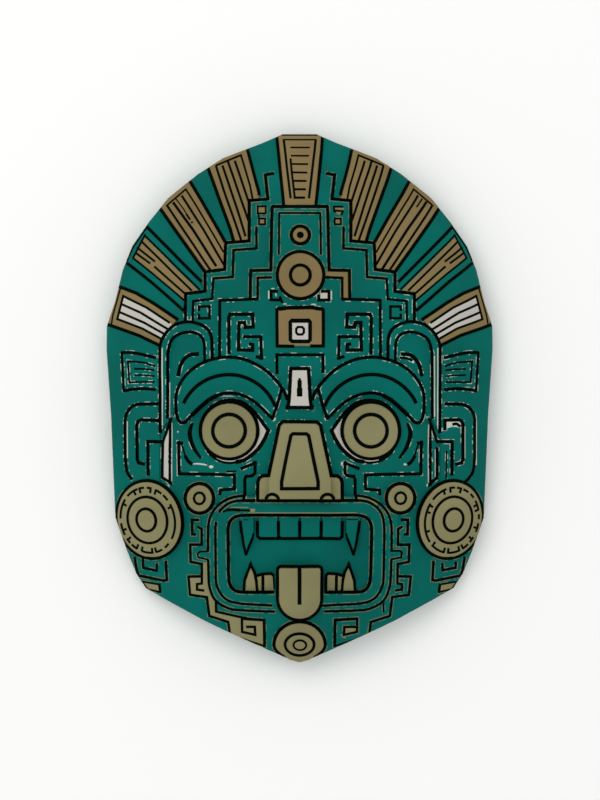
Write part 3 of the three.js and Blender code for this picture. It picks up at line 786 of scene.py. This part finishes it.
def staggered(spacing, outline):
    """Points of a triangular grid inside an outline."""
    x, y = np.meshgrid(np.arange(-SIDE, SIDE, spacing), np.arange(-TOP, TOP, spacing * ROW_APART))
    x = x + (np.arange(len(x)) % 2)[:, None] * spacing / 2
    spots = np.column_stack([x.ravel(), y.ravel()])
    return spots[inside(*spots.T, outline)]


def triangulated(plan, edges, count, outline, close):
    """Points and triangles within an outline, which the plan's first points follow."""
    made = delaunay_2d_cdt([Vector(p) for p in plan], edges, [list(range(count))], 1, close)
    spots, triangles = np.array([tuple(v) for v in made[0]]), np.array(made[2])
    return spots, triangles[inside(*spots[triangles].mean(axis=1).T, outline)]


lines = [(merged(points, closed), half, closed, rubbed) for points, half, closed, rubbed in lines]
half_widths = np.array([half for _, half, _, _ in lines])
rim = np.array(block_outline)
rim_in = -1 if offset(rim, 1, True)[:, 0].max() > rim[:, 0].max() else 1

loops = []
for points, half, closed, _ in lines:
    for distance in (GROOVE_FLOOR * half, WALL_FOOT * half, half, half + RUBBED, half + SHOULDER):
        loops += contours(points, distance, closed)
for outline, *_ in forms:
    loops += contours(merged(outline, True), STEP_HALF, True)
loops += flecks + [offset(rim, rim_in * distance, True) for distance in ROUND_STEPS]

plan = spaced(rim)
rim_count = len(plan)
plan_edges = []
for loop in loops:
    first = len(plan)
    plan += spaced(loop)
    last = len(plan) - 1
    plan_edges += [(i, i + 1 if i < last else first) for i in range(first, last + 1)]
filling = staggered(GRID, offset(rim, rim_in * RIM_CLEAR, True))
plan += list(filling[nearest_line(*filling.T)[0] > LINE_CLEAR])

flat, front = triangulated(plan, plan_edges, rim_count, rim, 0.02)
used, front = np.unique(front, return_inverse=True)
front = front.reshape(-1, 3)
flat = flat[used]

x, y = flat.T
past, share, which = nearest_line(x, y)
level, swell = carved_level(x, y)
grooved = share < 1
lowest = level.copy()
lowest[grooved] = lowest_beside(x[grooved], y[grooved], which[grooved])
top_of = level - SETTLED + swell * (1 - np.exp(-np.maximum(past, 0) / SWELL_SPAN))
floor_of = lowest - GROOVE_DEPTH - DEEPER * half_widths[which]
bank = np.clip((share - GROOVE_FLOOR) / (1 - GROOVE_FLOOR), 0, 1)
bank = floor_of + (top_of - floor_of) * bank * bank * (3 - 2 * bank)
foot = np.clip((share - GROOVE_FLOOR) / (WALL_FOOT - GROOVE_FLOOR), 0, 1)
wall = np.clip((share - WALL_FOOT) / (1 - WALL_FOOT), 0, 1)
steep = floor_of + (lowest - floor_of) * foot + (top_of - lowest) * wall
z = dome(x, y) + np.where(grooved, np.where(level - lowest > TALL, steep, bank), top_of)
z += UNEVEN * waver(x, y, 13) + 0.4 * UNEVEN * waver(x, y, 5, 2)

# The sawn edge is rounded over. The outline is kept true: towards it the lines drift and widen less
edge = np.full(len(x), 1e9)
for a, b in zip(rim, np.roll(rim, -1, axis=0)):
    way = b - a
    t = np.clip(((x - a[0]) * way[0] + (y - a[1]) * way[1]) / (way @ way), 0, 1)
    edge = np.minimum(edge, np.hypot(x - a[0] - t * way[0], y - a[1] - t * way[1]))
rounding = np.clip(EDGE_ROUND - edge, 0, EDGE_ROUND)
z -= EDGE_ROUND - np.sqrt(EDGE_ROUND**2 - rounding**2)
drift = DRIFT * np.clip(edge / DRIFT_FADE, 0, 1)
above_jaw = np.clip((y + 105) / 40, 0, 1)
wider = WIDER_RIGHT * np.clip(x / 15, 0, 1) * above_jaw * np.clip(edge / WIDER_FADE, 0, 1)
carved = np.column_stack([x + wider + drift * waver(x, y, 31, 1), y + drift * waver(x, y, 27, 3), z])

# Which paint each facet of the front carries
paint_names = ["teal", "ochre", "olive", "white", "gesso", "black", "rubbed ochre", "rubbed gesso", "wood"]
cx, cy = flat[front].mean(axis=1).T
coat = np.zeros(len(front), int)
for area, colour in painted:
    coat[inside(cx, cy, area)] = paint_names.index(colour)
past, share, which = nearest_line(cx, cy)
for index, (_, _, _, rubbed) in enumerate(lines):
    if rubbed:
        worn = (which == index) & (past > 0) & (past < RUBBED) & (coat == 0)
        coat[worn] = paint_names.index("rubbed " + rubbed)
sunk = np.flatnonzero(past < 0)
rise = carved_level(cx[sunk], cy[sunk])[0] - lowest_beside(cx[sunk], cy[sunk], which[sunk])
coat[sunk[(share[sunk] < WALL_FOOT) | (rise < TALL)]] = paint_names.index("black")

# The sides and the hollow back
# The sides are left as sawn and painted over. Behind, the block is hollowed with a broad gouge to about
# 8 mm of wood, leaving a flat rim for the mask to lie on; this side is neither sanded nor painted.
HOLLOW = 0.905  # the hollow's size as a share of the block's
HOLLOW_EDGE = 5  # depth at its edge
ARRIS = 0.7  # the corners that are taken off along the rim
SIDE_BAND = 0.55  # where the side is divided, as a share of its height
GOUGED_TO, GOUGED_FADE = 20, 4  # depth down to which gouge marks show, and over which they fade
CEILING_GRID, CEILING_CLEAR = 3.2, 1.8  # mm between the roof's points, and from its edge

pairs = dict.fromkeys(pair for a, b, c in front.tolist() for pair in ((a, b), (b, c), (c, a)))
after = {a: b for a, b in pairs if (b, a) not in pairs}
loop = [next(iter(after))]
while after[loop[-1]] != loop[0]:
    loop.append(after[loop[-1]])
around = flat[loop]
inner = np.column_stack([around[:, 0] * HOLLOW, DOME_Y + (around[:, 1] - DOME_Y) * HOLLOW])


def ceiling(x, y):
    return dome(x / HOLLOW, DOME_Y + (y - DOME_Y) / HOLLOW) - EDGE + HOLLOW_EDGE


def at_height(xy, z):
    return np.column_stack([xy, np.broadcast_to(z, len(xy))])


bands = [carved[loop], at_height(around, carved[loop, 2] * SIDE_BAND), at_height(around, ARRIS),
         at_height(offset(around, ARRIS, True), 0), at_height(offset(inner, -ARRIS, True), 0),
         at_height(inner, ARRIS), at_height(inner, ceiling(*inner.T))]
count = len(loop)
side_faces, side_coat = [], []
for band in range(len(bands) - 1):
    first = len(carved) + band * count
    for i in range(count):
        a, b = first + i, first + (i + 1) % count
        side_faces += [(a, a + count, b), (b, a + count, b + count)]
        side_coat += [paint_names.index("teal" if band < 2 else "wood")] * 2

ceiling_plan = list(inner) + list(staggered(CEILING_GRID, offset(inner, CEILING_CLEAR, True)))
roof, roof_faces = triangulated(ceiling_plan, [], count, inner, 1e-5)
body = np.vstack([carved, *bands, at_height(roof, ceiling(*roof.T))])
faces = np.vstack([front, side_faces, roof_faces[:, ::-1] + len(carved) + len(bands) * count])
coats = np.concatenate([coat, side_coat, np.full(len(roof_faces), paint_names.index("wood"))])
zones = np.repeat([0, 1, 2], [len(front), len(side_faces), len(roof_faces)])
gouged = np.zeros(len(body))
gouged[-len(roof):] = np.clip((GOUGED_TO - ceiling(*roof.T)) / GOUGED_FADE, 0, 1)

# The paints
# Matt acrylic brushed thinly over white gesso: the bristles leave fine ridges, the colour lies a little
# deeper where the coat is thicker, and the wood's grain still shows faintly through it as shallow lines.
PATCH_MM = 42
BRISTLE_MM, STROKE_MM, COAT_MM = 0.7, 16, 3
GRAIN_MM, GRAIN_LONG_MM = 2.2, 60
SCRATCH_MM = 4
RIDGE_MM = 0.03


def linear(hex_colour):
    """An sRGB hex colour as linear red, green, blue and alpha."""
    parts = [int(hex_colour[i:i + 2], 16) / 255 for i in (1, 3, 5)]
    return [c / 12.92 if c <= 0.04045 else ((c + 0.055) / 1.055) ** 2.4 for c in parts] + [1]


def add(tree, kind, inputs=None, **settings):
    """A node with its settings, its inputs set or linked to a socket, or to another node's first output."""
    made = tree.nodes.new(kind if kind.startswith(("Geometry", "NodeGroup")) else "ShaderNode" + kind)
    for name, value in settings.items():
        setattr(made, name, value)
    for name, value in (inputs or {}).items():
        if isinstance(value, bpy.types.Node):
            value = value.outputs[0]
        if isinstance(value, bpy.types.NodeSocket):
            tree.links.new(value, made.inputs[name])
        else:
            made.inputs[name].default_value = value
    return made


def blank(name):
    """A material with no nodes but one, which gives the place on the mask in metres."""
    material = bpy.data.materials.new(name)
    material.use_nodes = True
    material.node_tree.nodes.clear()
    return material, material.node_tree, add(material.node_tree, "TexCoord").outputs["Object"]


def drawn_out(tree, place, across_mm, along_mm, deep_mm=None, detail=2.0):
    """Noise with spots of a given size in mm each way, such as long brush strokes and fibres."""
    repeats = (1000 / across_mm, 1000 / along_mm, 1000 / (deep_mm or across_mm))
    scaled = add(tree, "VectorMath", {0: place, 1: repeats}, operation="MULTIPLY")
    return add(tree, "TexNoise", {"Vector": scaled, "Scale": 1.0, "Detail": detail})


def brushed_paint(name, colour, deep, rubbed=None, bare=0.5):
    """Brushed paint in a colour and a deeper shade of it; rubbed is what shows through along an edge."""
    material, tree, place = blank(name)
    patches = add(tree, "TexNoise", {"Vector": place, "Scale": 1000 / PATCH_MM, "Detail": 3.0})
    thick = add(tree, "MapRange", {"Value": patches, "From Min": 0.38, "From Max": 0.62})
    bristles = drawn_out(tree, place, BRISTLE_MM, STROKE_MM, COAT_MM)
    grain = drawn_out(tree, place, GRAIN_MM, GRAIN_LONG_MM, detail=3.0)
    streaked = add(tree, "Math", {0: bristles, 1: 0.35, 2: -0.175}, operation="MULTIPLY_ADD")
    depth = add(tree, "Math", {0: thick, 1: streaked}, operation="ADD", use_clamp=True)
    shown = add(tree, "Mix", {0: depth, 6: linear(colour), 7: linear(deep)}, data_type="RGBA").outputs[2]
    if rubbed:
        patchy = add(tree, "TexNoise", {"Vector": place, "Scale": 1000 / SCRATCH_MM, "Detail": 2.0,
                                        "Roughness": 0.7})
        through = add(tree, "MapRange", {"Value": patchy, "From Min": bare, "From Max": bare + 0.06})
        shown = add(tree, "Mix", {0: through, 6: shown, 7: linear(rubbed)}, data_type="RGBA").outputs[2]
    heights = add(tree, "Math", {0: grain, 1: 1.5, 2: bristles}, operation="MULTIPLY_ADD")
    bump = add(tree, "Bump", {"Height": heights, "Distance": RIDGE_MM * MM, "Strength": 0.8})
    matt = add(tree, "MapRange", {"Value": depth, "To Min": 0.78, "To Max": 0.67})
    shader = add(tree, "BsdfPrincipled", {"Base Color": shown, "Roughness": matt, "Normal": bump,
                                          "IOR": 1.47, "Specular IOR Level": 0.05})
    add(tree, "OutputMaterial", {"Surface": shader})
    return material


# Each coat in its colour and the shade where it lies thick, and last what shows where it is rubbed through
TEAL, DEEP_TEAL = "#04665d", "#035c54"
paints = {
    "teal": brushed_paint("teal acrylic brushed over gesso", TEAL, DEEP_TEAL),
    "ochre": brushed_paint("ochre acrylic brushed over gesso", "#82714b", "#7a6945"),
    "olive": brushed_paint("olive ochre acrylic brushed over gesso", "#87835e", "#7f7b57"),
    "white": brushed_paint("white acrylic brushed over gesso", "#bcb9b1", "#b3b0a8"),
    "gesso": brushed_paint("bare gesso in a scratch", "#c9cabf", "#aeb3a4"),
    "black": brushed_paint("black line paint run into the grooves", "#020a04", "#000500"),
    "rubbed ochre": brushed_paint("teal acrylic rubbed to ochre at an edge", TEAL, DEEP_TEAL,
                                  "#70795a", 0.44),
    "rubbed gesso": brushed_paint("teal acrylic rubbed to gesso at an edge", TEAL, DEEP_TEAL,
                                  "#b4c0b1", 0.53),
}

# The bare wood behind
# Pine, gouged and left unsanded, darkened with a thin brown stain: growth rings run up the plank, wide
# pale spring growth between narrow dark lines, and the stain dries darker in the open end grain.
RING_MM = 3.5
SWAY_MM, SWAY_WIDE_MM, SWAY_LONG_MM = 50, 40, 220  # how far the rings sway, and over what size
FIBRE_MM, FIBRE_LONG_MM, FIBRE_HIGH_MM = 0.6, 25, 0.08
wood, tree, place = blank("stained pine left from the gouge")
sway = drawn_out(tree, place, SWAY_WIDE_MM, SWAY_LONG_MM)
across = add(tree, "SeparateXYZ", {"Vector": place}).outputs
in_plank = add(tree, "Math", {0: across["Z"], 1: 0.6, 2: across["X"]}, operation="MULTIPLY_ADD")
swayed = add(tree, "Math", {0: sway, 1: SWAY_MM * MM, 2: in_plank}, operation="MULTIPLY_ADD")
rings = add(tree, "Math", {0: swayed, 1: 1000 / RING_MM}, operation="MULTIPLY")
growth = add(tree, "Math", {0: rings}, operation="FRACT")
late = add(tree, "Math", {0: growth, 1: 3.0}, operation="POWER")
fibres = drawn_out(tree, place, FIBRE_MM, FIBRE_LONG_MM)
spring = add(tree, "Mix", {0: fibres, 6: linear("#9a7148"), 7: linear("#7f5a38")}, data_type="RGBA")
stained = add(tree, "Mix", {0: late, 6: spring.outputs[2], 7: linear("#573722")}, data_type="RGBA")
bump = add(tree, "Bump", {"Height": fibres, "Distance": FIBRE_HIGH_MM * MM, "Strength": 0.9})
shader = add(tree, "BsdfPrincipled", {"Base Color": stained.outputs[2], "Roughness": 0.8, "Normal": bump,
                                      "Specular IOR Level": 0.25})
add(tree, "OutputMaterial", {"Surface": shader})
paints["wood"] = wood

# The finished piece
# Front, sides and hollow are one skin. Towards its edge the hollow carries shallow scallops side by side,
# each the width of the gouge, which run up and down the mask as the tool was pushed.
WELD_MM = 0.002
SHARP_FROM = 42  # degrees between two facets
mesh = bpy.data.meshes.new("carved_mask")
mesh.from_pydata((body * MM).tolist(), [], faces.tolist())
for name in paint_names:
    mesh.materials.append(paints[name])
mesh.polygons.foreach_set("material_index", coats.astype(np.int32))
mesh.attributes.new("gouged", "FLOAT", "POINT").data.foreach_set("value", gouged.astype(np.float32))
mesh.attributes.new("zone", "INT", "FACE").data.foreach_set("value", zones.astype(np.int32))
skin = bmesh.new()
skin.from_mesh(mesh)
bmesh.ops.remove_doubles(skin, verts=skin.verts, dist=WELD_MM * MM)
skin.to_mesh(mesh)
skin.free()
mask = bpy.data.objects.new("carved_mask", mesh)
bpy.context.scene.collection.objects.link(mask)

marks = bpy.data.node_groups.new("Gouge marks", "GeometryNodeTree")
marks.interface.new_socket("Geometry", in_out="INPUT", socket_type="NodeSocketGeometry")
sizes = {"Gouge width": ("NodeSocketFloat", 11 * MM), "Stroke length": ("NodeSocketFloat", 34 * MM),
         "Ridge height": ("NodeSocketFloat", 0.9 * MM), "Seed": ("NodeSocketInt", 7),
         "Wood": ("NodeSocketMaterial", wood)}
sockets = {name: marks.interface.new_socket(name, in_out="INPUT", socket_type=kind)
           for name, (kind, _) in sizes.items()}
marks.interface.new_socket("Geometry", in_out="OUTPUT", socket_type="NodeSocketGeometry")
given = add(marks, "NodeGroupInput").outputs
scallop = add(marks, "CombineXYZ", {0: given["Gouge width"], 1: given["Stroke length"],
                                    2: given["Stroke length"]})
spot = add(marks, "GeometryNodeInputPosition")
in_strokes = add(marks, "VectorMath", {0: spot, 1: scallop}, operation="DIVIDE")
shifted = add(marks, "VectorMath", {0: in_strokes, 1: given["Seed"]}, operation="ADD")
cells = add(marks, "TexVoronoi", {"Vector": shifted, "Scale": 1.0, "Randomness": 0.85})
cup = add(marks, "Math", {0: cells, 1: 2.0}, operation="POWER")
hollow_part = add(marks, "GeometryNodeInputNamedAttribute", {"Name": "gouged"}, data_type="FLOAT")
ridge = add(marks, "Math", {0: cup, 1: given["Ridge height"]}, operation="MULTIPLY")
masked = add(marks, "Math", {0: ridge, 1: hollow_part}, operation="MULTIPLY")
down = add(marks, "Math", {0: masked, 1: -2.0}, operation="MULTIPLY")
lowered = add(marks, "CombineXYZ", {2: down})
moved = add(marks, "GeometryNodeSetPosition", {"Geometry": given["Geometry"], "Offset": lowered})
real = add(marks, "GeometryNodeRealizeInstances", {"Geometry": moved})
gouged_only = add(marks, "Math", {0: hollow_part, 1: 0.01}, operation="GREATER_THAN")
bare = add(marks, "GeometryNodeSetMaterial", {"Geometry": real, "Selection": gouged_only,
                                              "Material": given["Wood"]})
add(marks, "NodeGroupOutput", {0: bare})
gouging = mask.modifiers.new("Gouge marks", "NODES")
gouging.node_group = marks
for name, (_, value) in sizes.items():
    gouging[sockets[name].identifier] = value
mask.data = bpy.data.meshes.new_from_object(mask.evaluated_get(bpy.context.evaluated_depsgraph_get()))
mask.modifiers.remove(gouging)
mask.data.name = "carved_mask"
mask.data.shade_smooth()
mask.data.set_sharp_from_angle(angle=math.radians(SHARP_FROM))

# The bake map looks straight down on the front; the hollow and the sides are folded into its margin
FRONT_SHARE, MARGIN, BACK_MARGIN = 0.72, 0.03, 0.025
SIDES_FROM, SIDES_LONG, SIDES_WIDE = 0.38, 0.58, 0.1
INNER_FROM = 0.12  # where the hollow's wall lies, beside the sides
INNER_WITHIN = 0.93  # share of the mask's size within which a wall is the hollow's


def read(items, name, size, kind=float):
    """Each item's value, as rows of an array."""
    values = np.zeros(len(items) * size, kind)
    items.foreach_get(name, values)
    return values.reshape(-1, size)


corner_point = read(mask.data.loops, "vertex_index", 1, np.int32)[:, 0]
spots = read(mask.data.vertices, "co", 3)[corner_point] / MM
facing = np.repeat(read(mask.data.polygons, "normal", 3)[:, 2], 3)
zone = np.repeat(read(mask.data.attributes["zone"].data, "value", 1, np.int32)[:, 0], 3)
map_mm = 2 * TOP + 2
u = (spots[:, 0] + SIDE) / map_mm + 0.002
v = (spots[:, 1] + TOP + 1) / map_mm
behind = facing < -0.5
small = (1 - FRONT_SHARE - MARGIN) / (2 * SIDE / map_mm)
u = np.where(behind, u * small + FRONT_SHARE + BACK_MARGIN, u)
v = np.where(behind, v * small, v)
corners = spots.reshape(-1, 3, 3)
turn = np.arctan2(corners[:, :, 1], corners[:, :, 0]) / (2 * math.pi) % 1
turn = np.where(turn < turn.max(axis=1, keepdims=True) - 0.5, turn + 1, turn).ravel()
sawn = (zone == 1) & (np.abs(facing) < 0.5)
inward = np.hypot(spots[:, 0] / SIDE, spots[:, 1] / TOP) < INNER_WITHIN
tall = SIDES_WIDE * spots[:, 2] / top_corner[2] * MM
u = np.where(sawn, FRONT_SHARE + MARGIN + INNER_FROM * inward + tall, u)
v = np.where(sawn, SIDES_FROM + SIDES_LONG * turn, v)
bake = mask.data.uv_layers.new(name="OFBake")
bake.data.foreach_set("uv", np.column_stack([u, v]).astype(np.float32).ravel())
mask.data.uv_layers.active = bake
bake.active_render = True

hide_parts("mask")
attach(mask, "root")

# The table and the light
# A plain pale matt table top, lit evenly from all round by a white ceiling and softly from one side, with
# the camera straight above at the distance at which the photograph shows no perspective.
TABLE_HALF = 3.0
TABLE_TOP = -0.0002  # just clear of the rim that lies on it
LAMP_AT = (-0.5, 0.7, 1.4)
table_mesh = bpy.data.meshes.new("table")
table_edge = box(-TABLE_HALF, -TABLE_HALF, TABLE_HALF, TABLE_HALF)
table_mesh.from_pydata([(x, y, TABLE_TOP) for x, y in table_edge], [], [(0, 1, 2, 3)])
table = bpy.data.objects.new("table", table_mesh)
laminate = bpy.data.materials.new("matt white laminate")
laminate.use_nodes = True
surface = laminate.node_tree.nodes["Principled BSDF"].inputs
surface["Base Color"].default_value = linear("#fbfbf9")
surface["Roughness"].default_value = 0.9
surface["Specular IOR Level"].default_value = 0.1
table_mesh.materials.append(laminate)

world = bpy.data.worlds.new("white room")
world.use_nodes = True
background = world.node_tree.nodes["Background"].inputs
background["Color"].default_value = (1, 1, 1, 1)
background["Strength"].default_value = 0.87

lamp = bpy.data.lights.new("softbox", "AREA")
lamp.shape = "DISK"
lamp.size = 1.2
lamp.energy = 5.3
softbox = bpy.data.objects.new("softbox", lamp)
softbox.location = LAMP_AT
softbox.rotation_euler = Vector(LAMP_AT).to_track_quat("Z", "Y").to_euler()

# The camera shows the mask at the size and place that it has in the photograph
PHOTO_MM_PER_PIXEL = 300 / 528.5  # the mask's height in mm and in the photograph's pixels
PHOTO_TALL = 800
PHOTO_MIDDLE = (300, 400)
MASK_MIDDLE = (299.6, 398.2)
AWAY, CARVING_AT = 5.0, 0.02  # metres from the carving, and the carving's height
view = bpy.data.cameras.new("camera")
view.sensor_width = 36
view.lens = view.sensor_width * AWAY / (PHOTO_TALL * PHOTO_MM_PER_PIXEL * MM)
view.clip_end = 100
camera = bpy.data.objects.new("camera", view)
camera.location = ((PHOTO_MIDDLE[0] - MASK_MIDDLE[0]) * PHOTO_MM_PER_PIXEL * MM,
                   (MASK_MIDDLE[1] - PHOTO_MIDDLE[1]) * PHOTO_MM_PER_PIXEL * MM, AWAY + CARVING_AT)

for thing in (table, softbox, camera):
    bpy.context.scene.collection.objects.link(thing)
bpy.context.scene.world = world
bpy.context.scene.camera = camera
bpy.context.scene.view_settings.view_transform = "Standard"
